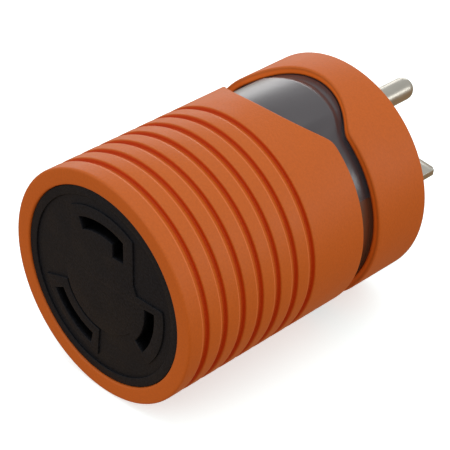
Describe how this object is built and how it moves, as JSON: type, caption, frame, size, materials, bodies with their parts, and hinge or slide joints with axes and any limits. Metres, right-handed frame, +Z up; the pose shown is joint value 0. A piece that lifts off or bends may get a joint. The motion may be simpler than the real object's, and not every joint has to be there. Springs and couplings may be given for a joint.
{
  "type": "power adapter",
  "caption": "Cordless barrel power adapter: locking receptacle with curved slots at one end, straight-blade plug with round ground pin at the other, grooved grip and smoked indicator window.",
  "frame": {"origin": "centre of the bottom of the bounding box, under the middle of the adapter as it lies on its side", "axes": "+Y runs along the barrel from the receptacle end to the plug end, +Z is up through the window and the ground pin side, +X is to the right seen from the receptacle end"},
  "size_m": [0.0468, 0.0838, 0.0468],
  "materials": {
    "orange_shell": "satin soft-touch vinyl overmould",
    "smoked_clear": "polished smoked polycarbonate",
    "black_nylon": "fine spark-eroded texture",
    "contact_brass": "stamped",
    "spring_bronze": "stamped",
    "zinc_steel": "zinc plated",
    "nickel_brass": "satin nickel plate",
    "white_nylon": "moulded",
    "green_pvc": "extruded",
    "white_pvc": "extruded",
    "black_pvc": "extruded",
    "tinned_copper": "tin plated",
    "circuit_board": "solder mask",
    "red_lamp": "clear tinted epoxy",
    "resistor_coat": "lacquered",
    "diode_body": "moulded",
    "red_pvc": "extruded"
  },
  "bodies": {
    "body": {"grip_sleeve": "orange_shell", "rear_collar": "orange_shell", "lens_body": "smoked_clear", "receptacle_face": "black_nylon", "receptacle_base": "black_nylon", "ground_contact": "contact_brass", "neutral_contact": "contact_brass", "hot_contact": "contact_brass", "face_screws": "zinc_steel", "plug_insert": "black_nylon", "plug_retainer": "black_nylon", "retainer_screws": "zinc_steel", "ground_pin": "nickel_brass", "neutral_blade": "nickel_brass", "hot_blade": "nickel_brass", "tie_posts": "white_nylon", "tie_screws": "zinc_steel", "ground_wire": "green_pvc", "neutral_wire": "white_pvc", "hot_wire": "black_pvc", "wire_crimps": "tinned_copper", "indicator_board": "circuit_board", "indicator_lamps": "red_lamp", "ballast_resistor": "resistor_coat", "rectifier_diode": "diode_body", "lamp_leads": "red_pvc"},
    "ground_spring": {"ground_leaf": "spring_bronze"},
    "neutral_spring": {"neutral_leaf": "spring_bronze"},
    "hot_spring": {"hot_leaf": "spring_bronze"}
  },
  "joints": [
    {"name": "ground_spring_flex", "type": "hinge", "parent": "body", "child": "ground_spring", "pos_m": [0.0002, -0.0222, 0.035], "axis": [0.9998, 0, -0.0175], "range_deg": [0, 3], "stiffness_Nm_per_rad": 2},
    {"name": "neutral_spring_flex", "type": "hinge", "parent": "body", "child": "neutral_spring", "pos_m": [0.01109, -0.0222, 0.02001], "axis": [-0.2924, 0, -0.9563], "range_deg": [0, 3], "stiffness_Nm_per_rad": 2},
    {"name": "hot_spring_flex", "type": "hinge", "parent": "body", "child": "hot_spring", "pos_m": [-0.00763, -0.0222, 0.01363], "axis": [-0.788, 0, 0.6157], "range_deg": [0, 3], "stiffness_Nm_per_rad": 2}
  ]
}
